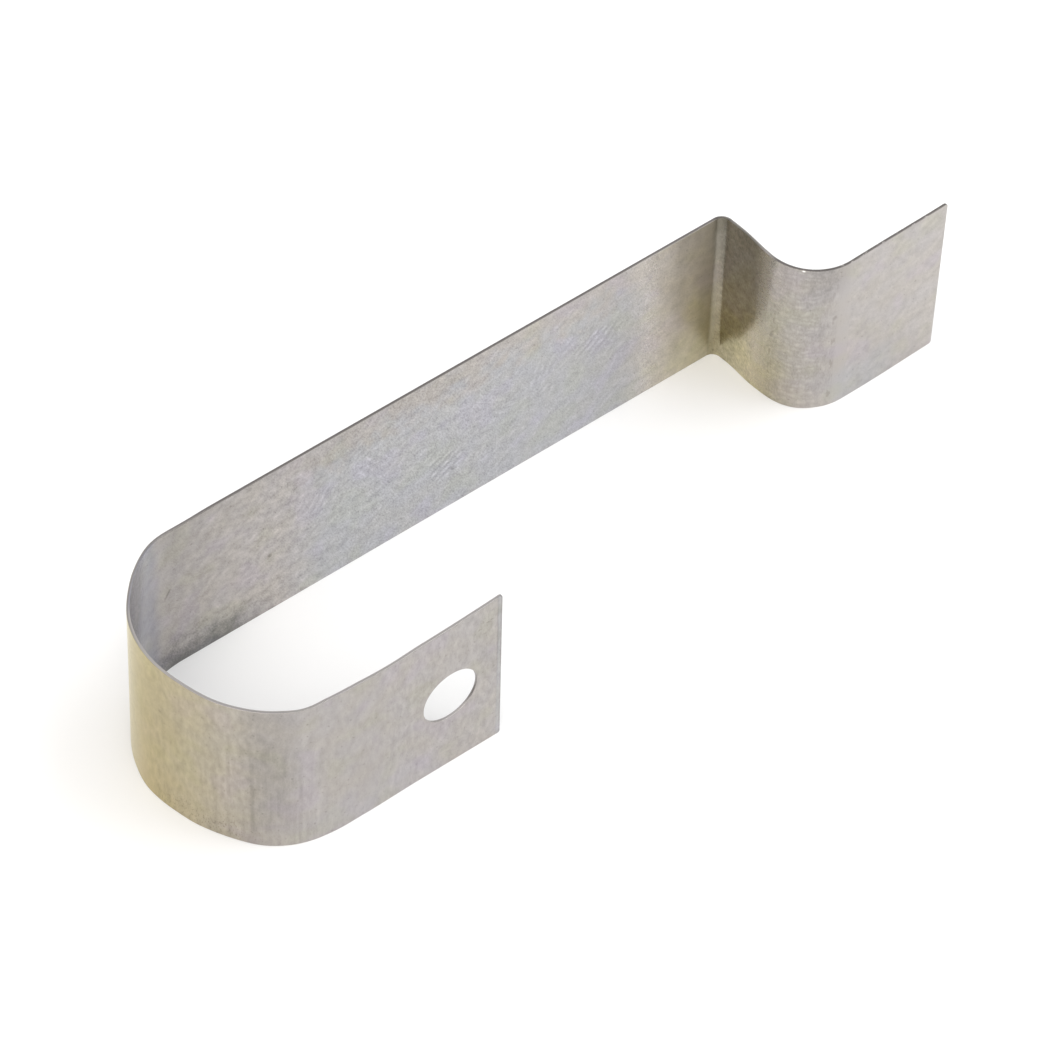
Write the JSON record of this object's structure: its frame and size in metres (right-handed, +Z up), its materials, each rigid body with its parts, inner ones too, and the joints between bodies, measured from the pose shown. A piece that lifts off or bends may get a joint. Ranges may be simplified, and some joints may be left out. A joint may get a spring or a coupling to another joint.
{
  "type": "interlock spring",
  "caption": "Flat spring bent from steel strip: a return bend joins a short arm with a fixing hole to a long arm that ends in a sharp crease, a trough and a lip.",
  "frame": {"origin": "middle of the fixing hole, halfway through the short arm's thickness", "axes": "+X along both arms, from the return bend towards the lip; +Y from the short arm across to the long arm; +Z up, across the width of the strip, which stands on its edge"},
  "size_m": [0.0604, 0.016, 0.0126],
  "materials": {
    "spring_steel": "cold-rolled strip, satin, with a fine grain along the strip and a straw and blue tint at the bends"
  },
  "bodies": {
    "root": {"spring_strip": "spring_steel"}
  },
  "joints": []
}
